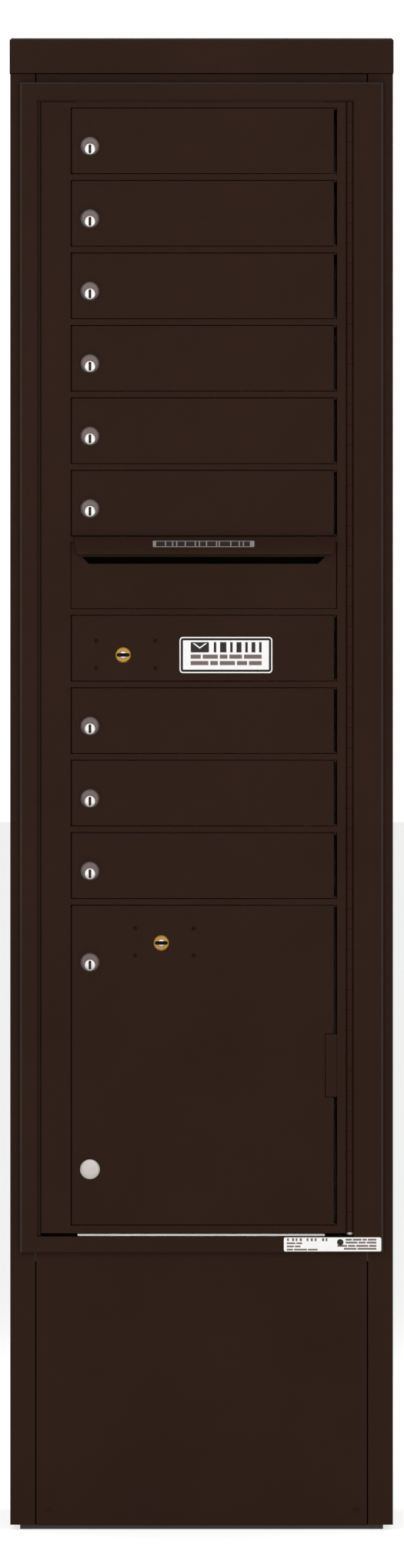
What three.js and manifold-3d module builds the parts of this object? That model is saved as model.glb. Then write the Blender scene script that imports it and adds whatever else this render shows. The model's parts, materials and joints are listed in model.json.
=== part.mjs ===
// Free-standing cluster mailbox: one column of locked tenant doors, an outgoing-mail slot and
// compartment and a parcel locker, held in a swinging master door on a cabinet.
// Millimetres. +Z is up, the doors face -Y and +X is to the right of a person facing them.
// The origin is on the floor, at the centre of the whole object's plan.

import * as THREE from 'three';
import { mergeVertices } from 'three/addons/utils/BufferGeometryUtils.js';
import Module from 'manifold-3d';

const wasm = await Module();
wasm.setup();

// ---------------------------------------------------------------- driving dimensions

const OVERALL_DEPTH = 492;
const HOOD_REACH = 13;
const BACK = OVERALL_DEPTH / 2;
const FACE = HOOD_REACH - BACK; // plane of the door faces and of the trim's face
const GAP = 0.3; // between pieces that touch

const BODY_HALF = 236;
const BODY_BOTTOM = 5.7;
const BODY_TOP = 1794;
const CAP_HALF = 236.7;
const CAP_TOP = 1837.4;
const CAP_WALL = 2;
const CAP_CHAMFER = 2.5;
const PLINTH_HALF = 224;
const SHEET = 2.5;
const CABINET_FRONT = FACE + 10;
const CABINET_BACK = BACK - 2;
const FLANGE_EDGE = 205.2; // inner edge of the cabinet's front flanges
const PANEL_SEAM = 1.4; // open seam between the flanges and the front panels
const REAR_FLANGE_WIDTH = 25;
const PANEL_HOLE = { x: 190, z: 23.5, radius: 2.4 };
const ANCHOR_HOLE = { x: 185, y: 190, radius: 7 };
const PLINTH_SETBACK = 9;

const TRIM_HALF = 223.85;
const TRIM_BOTTOM = 341.9;
const TRIM_TOP = 1782.9;
const TRIM_LEFT_EDGE = -203; // edges of the trim's opening
const TRIM_RIGHT_EDGE = 187.2;
const TRIM_LOW_EDGE = 361.2;
const TRIM_HIGH_EDGE = 1761;
const TRIM_FACE_SHEET = 3;
const TRIM_SKIRT_SHEET = 2;
const TRIM_CHAMFER = 2.2;
const TRIM_LEG_SHEET = 1.6;
const TRIM_LEG_BACK = FACE + 34;

const HOUSING_HALF = 172;
const HOUSING_WALL = 2;
const HOUSING_FLANGE_FRONT = FACE + 34.5;
const HOUSING_FLANGE_BACK = FACE + 36.5;
const HOUSING_BACK = 199;
const HOUSING_FLOOR = [361.5, 364.6];
const HOUSING_CEILING = [1756, 1758];
const FLANGE_RING_X = [-204.4, 204.4];
const FLANGE_RING_Z = [343.5, 1781.5];
const SHELF_FRONT = FACE + 24;
const SHELF_STRIP_X = [-60, 60];
const SILL_FRONT = FACE + 6;
const SILL_SPAN = [-153, 152];

const MASTER_LEFT = -197.7;
const MASTER_RIGHT = 177.9;
const MASTER_BOTTOM = 365.5;
const MASTER_TOP = 1758.5;
const MASTER_SHEET = 2;
const MASTER_BACK = FACE + 21;
const MULLION_BACK = FACE + 11;
const LIP_EDGE = -157.8; // door stops along the left of each window
const LIP_FRONT = FACE + 9.1;
const STILE_POCKET = [-195.7, -165.3];

const ROW_PITCH = 89.25;
const FIRST_DOOR_TOP = 1751;
const DOOR_HEIGHT = 80.6;
const DOOR_LEFT = -160.7;
const DOOR_RIGHT = 163.2;
const DOOR_SHEET = 2;
const DOOR_RETURN = 1.5;
const DOOR_BACK = FACE + 8.4;
const DOOR_EDGE_CHAMFER = 1;
const WINDOW_LEFT = -161.3;
const WINDOW_RIGHT = 167;
const WINDOW_GAP = 0.7;

const UPPER_TENANT_ROWS = [0, 1, 2, 3, 4, 5];
const SLOT_ROW = 6;
const OUTGOING_ROW = 7;
const LOWER_TENANT_ROWS = [8, 9, 10];
const PARCEL_ROW = 11;
const PARCEL_HEIGHT = 393.6;
const PARCEL_NOTCH_EDGE = 152.3;
const PARCEL_NOTCH = [-236.3, -158.1]; // down from the parcel door's top

const DOOR_AXIS_X = 165.1;
const DOOR_AXIS_Y = FACE + 1.7;
const DOOR_PIN_RADIUS = 1.1;
const DOOR_PIN_HOLE = 1.4;
const DOOR_PIN_LENGTH = 3.6;
const KNUCKLE_RADIUS = 1.6;
const KNUCKLE_HEIGHT = 4;

const MASTER_AXIS_X = 182.6;
const MASTER_AXIS_Y = FACE + 2.5;
const BARREL_RADIUS = 4.1;
const BARREL_HOLE = 1.95;
const BARREL_PIN = 1.6;
const BARREL_SPAN = [367, 1757];
const BARREL_KNUCKLES = 12;
const STAKED_SPAN = [1700, 1740]; // where the pin is fixed in the frame leaf's top knuckle
const PIN_HEAD_RADIUS = 4.2;
const PIN_HEAD_SPAN = [362.4, 366.6];
const LEAF_SHEET = 2;
const LEAF_START = MASTER_AXIS_Y + 4.7;

const LOCK_X = -137.6;
const LOCK_DROP = 46.8; // bezel centre below a tenant door's top
const PARCEL_LOCK_DROP = 70;
const BEZEL_RADIUS = 12;
const BEZEL_FRONT = FACE - 3.4;
const LOCK_BARREL_RADIUS = 9.3;
const LOCK_BACK = FACE + 12;
const PLUG_DROP = 3.6; // plug axis below the bezel's centre
const PLUG_HEAD_RADIUS = 6.9;
const PLUG_SHAFT_RADIUS = 5;
const PLUG_FRONT = FACE - 3.9;
const CAM_REACH = 27.5;
const CAM_HALF_WIDTH = 5.5;
const CAM_SPAN = [FACE + 12.4, FACE + 14.4];
const KEYWAY_LENGTH = 10.9;
const KEYWAY_WIDTH = 3.4;

const ARROW_X = { outgoing: -96.7, parcel: -49.7 };
const ARROW_DROP = { outgoing: 48.7, parcel: 46.4 };
const ARROW_COLLAR_RADIUS = 9.1;
const ARROW_PLUG_RADIUS = 4.6;
const ARROW_KEYWAY_LENGTH = 15; // the fixed slot in the collar
const ARROW_KEYWAY_WIDTH = 4.3;
const ARROW_KEYWAY_DEPTH = 4;
const ARROW_CASE_BACK = FACE + 19;
const ARROW_BOLT_HALF_HEIGHT = 5;
const ARROW_BOLT_SPAN = [FACE + 12.3, FACE + 15.3];
const ARROW_BOLT_TIP = -155.5;

const BLANK_DROP = 325.0;
const BLANK_RADIUS = 12.3;

const LATCH_BAR = { x: [-190, -174], y: [FACE + 13, FACE + 15.5], z: [400, 1735] };
const LATCH_CATCHES = [560, 1180, 1620];
const LATCH_GUIDES = [450, 940, 1690];
const LATCH_ARM = [1058, 1069];

const SLOT_X = [-147.4, 152];
const SLOT_DROP = [-25.6, -17.1]; // from the slot panel's top
const HOOD_X = [-157.9, 166]; // at the hood's top
const HOOD_DROP = [-14, 7.1];
const HOOD_WALL = 1.5;
const HOOD_TAPER = 3.7; // how far each end draws in

// ---------------------------------------------------------------- materials

function finish(color, roughness, metalness) {
  return new THREE.MeshStandardMaterial({ color, roughness, metalness });
}

const bronzeCoat = finish(0x32231c, 0.55, 0.1);
const plinthCoat = finish(0x37322f, 0.7, 0.1);
const millAluminium = finish(0x9a9695, 0.45, 0.9);
const zincSteel = finish(0x8f8a88, 0.35, 0.9);
const lockMetal = finish(0x82736e, 0.3, 0.9);
const plugChrome = finish(0xefe8e5, 0.15, 1.0);
const brass = finish(0xa87f45, 0.35, 0.9);
const blankMetal = finish(0xd0c8c5, 0.4, 0.6);

// ---------------------------------------------------------------- solids

// A closed three.js geometry as a manifold solid.
function solid(geometry) {
  const bare = geometry.clone();
  bare.deleteAttribute('normal');
  bare.deleteAttribute('uv');
  const merged = mergeVertices(bare, 1e-4);
  return new wasm.Manifold(new wasm.Mesh({
    numProp: 3,
    vertProperties: new Float32Array(merged.attributes.position.array),
    triVerts: new Uint32Array(merged.index.array),
  }));
}

function box([x0, x1], [y0, y1], [z0, z1]) {
  const geometry = new THREE.BoxGeometry(x1 - x0, y1 - y0, z1 - z0);
  geometry.translate((x0 + x1) / 2, (y0 + y1) / 2, (z0 + z1) / 2);
  return solid(geometry);
}

// A round bar along Y.
function barY(x, z, radius, [y0, y1], sides = 20) {
  const geometry = new THREE.CylinderGeometry(radius, radius, y1 - y0, sides);
  geometry.translate(x, (y0 + y1) / 2, z);
  return solid(geometry);
}

// A round bar along Z.
function barZ(x, y, radius, [z0, z1], sides = 12) {
  const geometry = new THREE.CylinderGeometry(radius, radius, z1 - z0, sides);
  geometry.rotateX(Math.PI / 2);
  geometry.translate(x, y, (z0 + z1) / 2);
  return solid(geometry);
}

// An outline given as (y, z) points, drawn out along X.
function prismX(points, [x0, x1]) {
  const shape = new THREE.Shape(points.map(([y, z]) => new THREE.Vector2(y, z)));
  const geometry = new THREE.ExtrudeGeometry(shape, { depth: x1 - x0, bevelEnabled: false });
  // Shape X becomes world Y, shape Y becomes world Z and the depth runs along X.
  geometry.applyMatrix4(new THREE.Matrix4().set(0, 0, 1, x0, 1, 0, 0, 0, 0, 1, 0, 0, 0, 0, 0, 1));
  return solid(geometry);
}

// An outline given as (x, z) points or a ready Shape, drawn out along +Y.
function plateXZ(outline, [y0, y1], curveSegments = 6) {
  const shape = outline instanceof THREE.Shape
    ? outline
    : new THREE.Shape(outline.map(([x, z]) => new THREE.Vector2(x, z)));
  const geometry = new THREE.ExtrudeGeometry(shape, {
    depth: y1 - y0,
    bevelEnabled: false,
    curveSegments,
  });
  // Shape Y becomes world Z and the depth runs towards -Y, so the plate starts at y1.
  geometry.rotateX(Math.PI / 2);
  geometry.translate(0, y1, 0);
  return solid(geometry);
}

// An outline given as (x, y) points, drawn out along Z.
function prismZ(points, [z0, z1]) {
  const shape = new THREE.Shape(points.map(([x, y]) => new THREE.Vector2(x, y)));
  const geometry = new THREE.ExtrudeGeometry(shape, { depth: z1 - z0, bevelEnabled: false });
  geometry.translate(0, 0, z0);
  return solid(geometry);
}

function union(parts) {
  return parts.reduce((whole, part) => whole.add(part));
}

function cut(body, tools) {
  return tools.reduce((whole, tool) => whole.subtract(tool), body);
}

// A picture-frame ring in the XZ plane with a given depth along Y.
function ring(outerX, outerZ, innerX, innerZ, spanY) {
  const hole = box(innerX, [spanY[0] - 1, spanY[1] + 1], innerZ);
  return box(outerX, spanY, outerZ).subtract(hole);
}

function mesh(name, body, material, position = [0, 0, 0]) {
  const { vertProperties, triVerts } = body.getMesh();
  const geometry = new THREE.BufferGeometry();
  geometry.setAttribute('position', new THREE.BufferAttribute(new Float32Array(vertProperties), 3));
  geometry.setIndex(new THREE.BufferAttribute(new Uint32Array(triVerts), 1));
  geometry.computeVertexNormals();
  const piece = new THREE.Mesh(geometry, material);
  piece.name = name;
  piece.position.set(...position);
  return piece;
}

function grow([low, high], by) {
  return [low - by, high + by];
}

function rowTop(row) {
  return FIRST_DOOR_TOP - ROW_PITCH * row;
}

// ---------------------------------------------------------------- cabinet

function basePlinth() {
  const top = BODY_BOTTOM - GAP;
  const spanY = [CABINET_FRONT + PLINTH_SETBACK, CABINET_BACK - PLINTH_SETBACK];
  const plate = box([-PLINTH_HALF, PLINTH_HALF], spanY, [0, top]);
  const holes = [];
  for (const x of [-ANCHOR_HOLE.x, ANCHOR_HOLE.x]) {
    for (const y of [-ANCHOR_HOLE.y, ANCHOR_HOLE.y]) {
      holes.push(barZ(x, y, ANCHOR_HOLE.radius, [-1, top + 1]));
    }
  }
  return cut(plate, holes);
}

// One folded side: wall, front flange, rear flange and a foot flange. side is -1 or 1.
function sidePanel(side) {
  const x = (near, far) => [near * side, far * side].sort((a, b) => a - b);
  const rear = CABINET_BACK - SHEET - GAP;
  const blank = box(x(FLANGE_EDGE, BODY_HALF), [CABINET_FRONT, rear], [BODY_BOTTOM, BODY_TOP]);
  const insideHeight = [BODY_BOTTOM + SHEET, BODY_TOP + 1];
  const insideX = x(FLANGE_EDGE - 1, BODY_HALF - SHEET);
  const inside = box(insideX, [CABINET_FRONT + SHEET, rear - SHEET], insideHeight);
  const pastFlange = x(FLANGE_EDGE - 1, BODY_HALF - REAR_FLANGE_WIDTH);
  const rearTrim = box(pastFlange, [rear - SHEET - 1, rear + 1], insideHeight);
  return cut(blank, [inside, rearTrim]);
}

function rearPanel() {
  return box([-BODY_HALF, BODY_HALF], [CABINET_BACK - SHEET, CABINET_BACK], [BODY_BOTTOM, BODY_TOP]);
}

// An inverted pan whose four top edges are chamfered.
function topCap() {
  const spanY = [FACE + 4, BACK];
  const spanX = [-CAP_HALF, CAP_HALF];
  const spanZ = [BODY_TOP + GAP, CAP_TOP];
  const [c, top] = [CAP_CHAMFER, CAP_TOP];
  const endView = (span) => [
    [span[0], spanZ[0]], [span[1], spanZ[0]], [span[1], top - c],
    [span[1] - c, top], [span[0] + c, top], [span[0], top - c],
  ];
  const alongX = prismX(endView(spanY), spanX);
  const alongY = plateXZ(endView(spanX), spanY);
  const inside = box(grow(spanX, -CAP_WALL), grow(spanY, -CAP_WALL), [spanZ[0] - 1, top - CAP_WALL - 1]);
  return alongX.intersect(alongY).subtract(inside);
}

// A shallow pan that closes part of the cabinet's front, open at the back.
function frontPan(spanZ, returnDepth) {
  const half = FLANGE_EDGE - PANEL_SEAM;
  const spanX = [-half, half];
  const depth = [CABINET_FRONT, CABINET_FRONT + returnDepth];
  const hollow = [CABINET_FRONT + DOOR_SHEET, CABINET_FRONT + returnDepth + 1];
  return box(spanX, depth, spanZ).subtract(box(grow(spanX, -2), hollow, grow(spanZ, -2)));
}

// The removable pan under the module, with a screw hole near each lower corner.
function lowerFrontPanel() {
  const pan = frontPan([BODY_BOTTOM + 0.5, TRIM_BOTTOM - 0.3], 20);
  const through = [CABINET_FRONT - 1, CABINET_FRONT + 5];
  const holes = [-PANEL_HOLE.x, PANEL_HOLE.x].map((x) => (
    barY(x, PANEL_HOLE.z, PANEL_HOLE.radius, through, 12)
  ));
  return cut(pan, holes);
}

const TRIM_X = [-TRIM_HALF, TRIM_HALF];
const TRIM_Z = [TRIM_BOTTOM, TRIM_TOP];

// The trim's outline as a block. Its left, right and top front edges are chamfered.
function trimBlank() {
  const c = TRIM_CHAMFER;
  const back = TRIM_LEG_BACK + 1;
  const [left, right] = TRIM_X;
  const [low, high] = TRIM_Z;
  const outline = [
    [left + c, FACE], [right - c, FACE], [right, FACE + c], [right, back], [left, back], [left, FACE + c],
  ];
  const sideView = [[FACE, low], [FACE, high - c], [FACE + c, high], [back, high], [back, low]];
  return prismZ(outline, TRIM_Z).intersect(prismX(sideView, TRIM_X));
}

function trimFrame() {
  const innerX = [TRIM_LEFT_EDGE, TRIM_RIGHT_EDGE];
  const innerZ = [TRIM_LOW_EDGE, TRIM_HIGH_EDGE];
  const face = ring(TRIM_X, TRIM_Z, innerX, innerZ, [FACE, FACE + TRIM_FACE_SHEET]);
  const skirtX = grow(TRIM_X, -TRIM_SKIRT_SHEET);
  const skirtZ = grow(TRIM_Z, -TRIM_SKIRT_SHEET);
  const skirt = ring(TRIM_X, TRIM_Z, skirtX, skirtZ, [FACE, CABINET_FRONT - GAP]);
  const legX = grow(innerX, TRIM_LEG_SHEET);
  const legZ = grow(innerZ, TRIM_LEG_SHEET);
  const legs = ring(legX, legZ, innerX, innerZ, [FACE, TRIM_LEG_BACK]);
  return union([face, skirt, legs]).intersect(trimBlank());
}

// ---------------------------------------------------------------- module housing

const HOUSING_X = [-HOUSING_HALF, HOUSING_HALF];
const HOUSING_INSIDE_X = grow(HOUSING_X, -HOUSING_WALL);
const HOUSING_INSIDE_Z = [HOUSING_FLOOR[1], HOUSING_CEILING[0]];

// The open-fronted liner: two side walls, a back, a floor and a ceiling.
function housingLiner() {
  const spanZ = [HOUSING_FLOOR[0], HOUSING_CEILING[1]];
  const front = HOUSING_FLANGE_BACK + GAP;
  return box(HOUSING_X, [front, HOUSING_BACK], spanZ)
    .subtract(box(HOUSING_INSIDE_X, [front - 1, HOUSING_BACK - HOUSING_WALL], HOUSING_INSIDE_Z));
}

// The front ring that the trim clamps, with the bare sill under the master door.
function housingFlange() {
  const depth = [HOUSING_FLANGE_FRONT, HOUSING_FLANGE_BACK];
  const flange = ring(FLANGE_RING_X, FLANGE_RING_Z, HOUSING_INSIDE_X, HOUSING_INSIDE_Z, depth);
  const sill = box(SILL_SPAN, [SILL_FRONT, HOUSING_FLANGE_BACK], HOUSING_FLOOR);
  return flange.add(sill);
}

// Shelves joined by a strip along their back edges, level with the bars between the doors.
function shelfRack(rows) {
  const back = HOUSING_BACK - HOUSING_WALL - GAP;
  const shelfX = grow(HOUSING_INSIDE_X, -GAP);
  const heights = rows.map((row) => rowTop(row) + (ROW_PITCH - DOOR_HEIGHT) / 2 - HOUSING_WALL / 2);
  const shelves = heights.map((z) => box(shelfX, [SHELF_FRONT, back], [z, z + HOUSING_WALL]));
  const stripZ = [Math.min(...heights), Math.max(...heights) + HOUSING_WALL];
  const strip = box(SHELF_STRIP_X, [back - HOUSING_WALL, back], stripZ);
  return union([strip, ...shelves]);
}

function supportShelf() {
  const top = HOUSING_FLOOR[0] - GAP;
  const half = BODY_HALF - SHEET - GAP;
  const spanX = [-half, half];
  const spanY = [FACE + 40, CABINET_BACK - 2 * SHEET - 2 * GAP - 0.2];
  const pan = box(spanX, spanY, [top - 32, top]);
  return pan.subtract(box(grow(spanX, -SHEET), grow(spanY, -SHEET), [top - 33, top - SHEET]));
}

// ---------------------------------------------------------------- master door

function windowSpans() {
  const single = [...UPPER_TENANT_ROWS, SLOT_ROW, OUTGOING_ROW, ...LOWER_TENANT_ROWS];
  const spans = single.map((row) => [rowTop(row) - DOOR_HEIGHT, rowTop(row)]);
  spans.push([rowTop(PARCEL_ROW) - PARCEL_HEIGHT, rowTop(PARCEL_ROW)]);
  return spans.map((span) => grow(span, WINDOW_GAP));
}

// Holes for the hinge pins of a door that spans the given heights.
function pinHoles(spanZ) {
  const [low, high] = grow(spanZ, DOOR_PIN_LENGTH + GAP);
  return barZ(DOOR_AXIS_X, DOOR_AXIS_Y, DOOR_PIN_HOLE, [low, high], 8);
}

function masterDoorFrame() {
  const spanX = [MASTER_LEFT, MASTER_RIGHT];
  const spanZ = [MASTER_BOTTOM, MASTER_TOP];
  const returns = ring(
    spanX,
    spanZ,
    grow(spanX, -MASTER_SHEET),
    grow(spanZ, -MASTER_SHEET),
    [FACE, MASTER_BACK],
  );
  const pocketZ = grow(spanZ, -MASTER_SHEET);
  const pocket = box(STILE_POCKET, [FACE + 2.5, MULLION_BACK + 1], pocketZ);
  const slab = box(spanX, [FACE, MULLION_BACK], spanZ).subtract(pocket);
  const windows = windowSpans().map((span) => (
    box([WINDOW_LEFT, WINDOW_RIGHT], [FACE - 1, MULLION_BACK + 1], span)
  ));
  const doorWindows = windowSpans().filter((span, index) => index !== UPPER_TENANT_ROWS.length);
  const holes = doorWindows.map((span) => pinHoles(grow(span, -WINDOW_GAP)));
  const lips = windowSpans().map((span) => (
    box([WINDOW_LEFT - 1, LIP_EDGE], [LIP_FRONT, MULLION_BACK], span)
  ));
  return union([cut(slab, [...windows, ...holes]), returns, ...lips, ...latchGuides()]);
}

// Blocks on the back of the left stile with a slot that the latch bar runs in.
function latchGuides() {
  const clearance = 0.4;
  const slotX = grow(LATCH_BAR.x, clearance);
  const slotY = grow(LATCH_BAR.y, clearance);
  return LATCH_GUIDES.map((z) => {
    const block = box([STILE_POCKET[0], -169.5], [FACE + 2.4, slotY[1] + 1.7], [z - 6, z + 6]);
    return block.subtract(box(slotX, slotY, [z - 7, z + 7]));
  });
}

// One leaf of the continuous hinge. side is -1 for the door's leaf and 1 for the frame's leaf.
function hingeLeaf(side, plateEdge, leafBack) {
  const pitch = (BARREL_SPAN[1] - BARREL_SPAN[0]) / BARREL_KNUCKLES;
  const x = [plateEdge, plateEdge + LEAF_SHEET];
  const plate = box(x, [LEAF_START, leafBack], BARREL_SPAN);
  const solids = [plate];
  for (let n = side < 0 ? 0 : 1; n < BARREL_KNUCKLES; n += 2) {
    const low = BARREL_SPAN[0] + n * pitch;
    const span = [low + 0.2, low + pitch - 0.2];
    const bridgeX = side < 0 ? [x[0] + 0.3, x[1]] : [x[0], x[1] - 0.2];
    solids.push(barZ(MASTER_AXIS_X, MASTER_AXIS_Y, BARREL_RADIUS, span, 12));
    solids.push(box(bridgeX, [MASTER_AXIS_Y, LEAF_START + 0.5], span));
  }
  const bore = barZ(MASTER_AXIS_X, MASTER_AXIS_Y, BARREL_HOLE, grow(BARREL_SPAN, 1), 10);
  return union(solids).subtract(bore);
}

// The frame's leaf, with the hinge pin staked in its knuckles and the pin's head below the barrel.
function frameLeaf(plateEdge, leafBack) {
  const pin = barZ(MASTER_AXIS_X, MASTER_AXIS_Y, BARREL_PIN, [PIN_HEAD_SPAN[0] + 1, BARREL_SPAN[1]], 10);
  const stake = barZ(MASTER_AXIS_X, MASTER_AXIS_Y, BARREL_HOLE + 0.1, STAKED_SPAN, 10);
  const head = barZ(MASTER_AXIS_X, MASTER_AXIS_Y, PIN_HEAD_RADIUS, PIN_HEAD_SPAN, 16);
  return union([hingeLeaf(1, plateEdge, leafBack), pin, stake, head]);
}

// A flat bar with a window for each catch and an arm that reaches into the outgoing compartment.
function latchBar() {
  const blank = box(LATCH_BAR.x, LATCH_BAR.y, LATCH_BAR.z);
  const arm = box([LATCH_BAR.x[1] - 1, -148], LATCH_BAR.y, LATCH_ARM);
  const fingerTab = box([-151, -148], [FACE + 10, LATCH_BAR.y[1]], LATCH_ARM);
  const windows = LATCH_CATCHES.map((z) => (
    box([-186, -178], grow(LATCH_BAR.y, 1), [z - 2, z + 20])
  ));
  return cut(union([blank, arm, fingerTab]), windows);
}

// The strip on the housing's flange with hooked catches that stand through the latch bar.
function latchKeeper() {
  const stripY = [HOUSING_FLANGE_FRONT - 2.7, HOUSING_FLANGE_FRONT - GAP];
  const strip = box(LATCH_BAR.x, stripY, [LATCH_CATCHES[0] - 20, LATCH_CATCHES[2] + 40]);
  const nose = [FACE + 9.5, LATCH_BAR.y[0] - 0.8];
  const catches = LATCH_CATCHES.flatMap((z) => [
    box([-185, -179], [nose[0], stripY[1]], [z, z + 6]),
    box([-185, -179], nose, [z, z + 18]),
  ]);
  return union([strip, ...catches]);
}

// ---------------------------------------------------------------- doors

// The knuckle and pin at one end of a door. up is 1 when the pin points up, -1 when down.
function pivot(z, up) {
  const knuckle = [z, z - up * KNUCKLE_HEIGHT].sort((a, b) => a - b);
  const pin = [z - up * 1, z + up * DOOR_PIN_LENGTH].sort((a, b) => a - b);
  const webY = [DOOR_AXIS_Y - KNUCKLE_RADIUS, DOOR_AXIS_Y + KNUCKLE_RADIUS];
  return union([
    barZ(DOOR_AXIS_X, DOOR_AXIS_Y, KNUCKLE_RADIUS, knuckle, 8),
    box([DOOR_RIGHT - 2.5, DOOR_AXIS_X], webY, knuckle),
    barZ(DOOR_AXIS_X, DOOR_AXIS_Y, DOOR_PIN_RADIUS, pin, 8),
  ]);
}

// A folded tray, its face forward. The hinge-side front edge is chamfered so that it swings
// clear. Heights run down from the door's top at zero.
function doorTray(height, right = DOOR_RIGHT) {
  const c = DOOR_EDGE_CHAMFER;
  const outline = [
    [DOOR_LEFT, FACE], [right - c, FACE], [right, FACE + c], [right, DOOR_BACK], [DOOR_LEFT, DOOR_BACK],
  ];
  const hollowX = [DOOR_LEFT + DOOR_RETURN, right - DOOR_RETURN];
  const hollowY = [FACE + DOOR_SHEET, DOOR_BACK + 1];
  const hollowZ = [-height + DOOR_RETURN, -DOOR_RETURN];
  return prismZ(outline, [-height, 0]).subtract(box(hollowX, hollowY, hollowZ));
}

function lockHole(x, drop, radius = LOCK_BARREL_RADIUS + 0.4) {
  return barY(x, -drop, radius, [FACE - 1, FACE + 5], 16);
}

function tenantDoor() {
  const tray = union([doorTray(DOOR_HEIGHT), pivot(0, 1), pivot(-DOOR_HEIGHT, -1)]);
  return tray.subtract(lockHole(LOCK_X, LOCK_DROP));
}

// Bezel, threaded barrel and nut, bored off-centre for the plug.
function camLockBody() {
  const bezel = barY(LOCK_X, -LOCK_DROP, BEZEL_RADIUS, [BEZEL_FRONT, FACE - GAP], 20);
  const barrel = barY(LOCK_X, -LOCK_DROP, LOCK_BARREL_RADIUS, [FACE - 1, LOCK_BACK], 14);
  const nut = barY(LOCK_X, -LOCK_DROP, 13, [FACE + DOOR_SHEET + GAP, FACE + 6.4], 6);
  const plugZ = -LOCK_DROP - PLUG_DROP;
  const pocket = barY(LOCK_X, plugZ, PLUG_HEAD_RADIUS + 0.4, [BEZEL_FRONT - 1, FACE - 1.6], 16);
  const bore = barY(LOCK_X, plugZ, PLUG_SHAFT_RADIUS + 0.5, [FACE - 3, LOCK_BACK + 1], 12);
  return cut(union([bezel, barrel, nut]), [pocket, bore]);
}

// A slot with round ends, centred on the origin, as an outline.
function roundSlot(length, width, x, z, upright) {
  const r = width / 2;
  const half = length / 2 - r;
  const shape = new THREE.Shape();
  if (upright) {
    shape.absarc(x, z + half, r, 0, Math.PI, false);
    shape.absarc(x, z - half, r, Math.PI, 2 * Math.PI, false);
  } else {
    shape.absarc(x - half, z, r, Math.PI / 2, 1.5 * Math.PI, false);
    shape.absarc(x + half, z, r, -Math.PI / 2, Math.PI / 2, false);
  }
  shape.closePath();
  return shape;
}

// The key plug with its cam. The cam hangs down, unlocked.
function camLockPlug() {
  const z = -LOCK_DROP - PLUG_DROP;
  const head = barY(LOCK_X, z, PLUG_HEAD_RADIUS, [PLUG_FRONT, FACE - 1.9], 16);
  const shaft = barY(LOCK_X, z, PLUG_SHAFT_RADIUS, [FACE - 2.5, CAM_SPAN[0] + 0.5], 10);
  const middle = z - CAM_REACH / 2 + CAM_HALF_WIDTH / 2;
  const camLength = CAM_REACH + CAM_HALF_WIDTH;
  const cam = plateXZ(roundSlot(camLength, 2 * CAM_HALF_WIDTH, LOCK_X, middle, true), CAM_SPAN, 4);
  const keyway = roundSlot(KEYWAY_LENGTH, KEYWAY_WIDTH, LOCK_X, z, true);
  return union([head, shaft, cam]).subtract(plateXZ(keyway, [PLUG_FRONT - 1, PLUG_FRONT + 4], 3));
}

// ---------------------------------------------------------------- postal (arrow) locks

// The brass case: front collar, mounting plate and body, with a channel for the bolt.
function arrowCase(x, drop) {
  const z = -drop;
  const bodyX = [x - 29, x + 29];
  const collar = barY(x, z, ARROW_COLLAR_RADIUS, [FACE - 1.2, FACE + 4], 24);
  const plate = box([x - 41, x + 41], [FACE + 2.3, FACE + 4.8], [z - 21.5, z + 21.5]);
  const body = box(bodyX, [FACE + 4.5, ARROW_CASE_BACK], [z - 17, z + 17]);
  const bore = barY(x, z, ARROW_PLUG_RADIUS + 0.3, [FACE - 2, ARROW_CASE_BACK - 2], 20);
  const channelX = [bodyX[0] - 1, x - 7.5];
  const channelZ = grow([z - ARROW_BOLT_HALF_HEIGHT, z + ARROW_BOLT_HALF_HEIGHT], 0.4);
  const channel = box(channelX, grow(ARROW_BOLT_SPAN, 0.4), channelZ);
  const slot = roundSlot(ARROW_KEYWAY_LENGTH, ARROW_KEYWAY_WIDTH, x, z, false);
  const keyway = plateXZ(slot, [FACE - 2, FACE + ARROW_KEYWAY_DEPTH], 4);
  return cut(union([collar, plate, body]), [bore, channel, keyway]);
}

// The steel centre of the lock, slotted right across.
function arrowPlug(x, drop) {
  const barrel = barY(x, -drop, ARROW_PLUG_RADIUS, [FACE - 1, ARROW_CASE_BACK - 2.4], 20);
  const halfWidth = ARROW_KEYWAY_WIDTH / 2;
  const slotX = [x - ARROW_PLUG_RADIUS - 1, x + ARROW_PLUG_RADIUS + 1];
  const slotZ = [-drop - halfWidth, -drop + halfWidth];
  return barrel.subtract(box(slotX, [FACE - 2, FACE + ARROW_KEYWAY_DEPTH], slotZ));
}

function arrowBolt(x, drop) {
  const height = [-drop - ARROW_BOLT_HALF_HEIGHT, -drop + ARROW_BOLT_HALF_HEIGHT];
  return box([ARROW_BOLT_TIP, x - 7.9], ARROW_BOLT_SPAN, height);
}

function arrowHole(x, drop) {
  return lockHole(x, drop, ARROW_COLLAR_RADIUS + 0.4);
}

// ---------------------------------------------------------------- outgoing mail

function outgoingDoor() {
  const tray = union([doorTray(DOOR_HEIGHT), pivot(0, 1), pivot(-DOOR_HEIGHT, -1)]);
  return tray.subtract(arrowHole(ARROW_X.outgoing, ARROW_DROP.outgoing));
}

// The fixed panel of the slot row. Its slot has clipped lower corners.
function slotPanel() {
  const [left, right] = SLOT_X;
  const [low, high] = SLOT_DROP;
  const clip = high - low;
  const slot = plateXZ(
    [[left + clip, low], [right - clip, low], [right, high], [left, high]],
    [FACE - 1, FACE + 5],
  );
  return doorTray(DOOR_HEIGHT, WINDOW_RIGHT - 0.6).subtract(slot);
}

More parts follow.
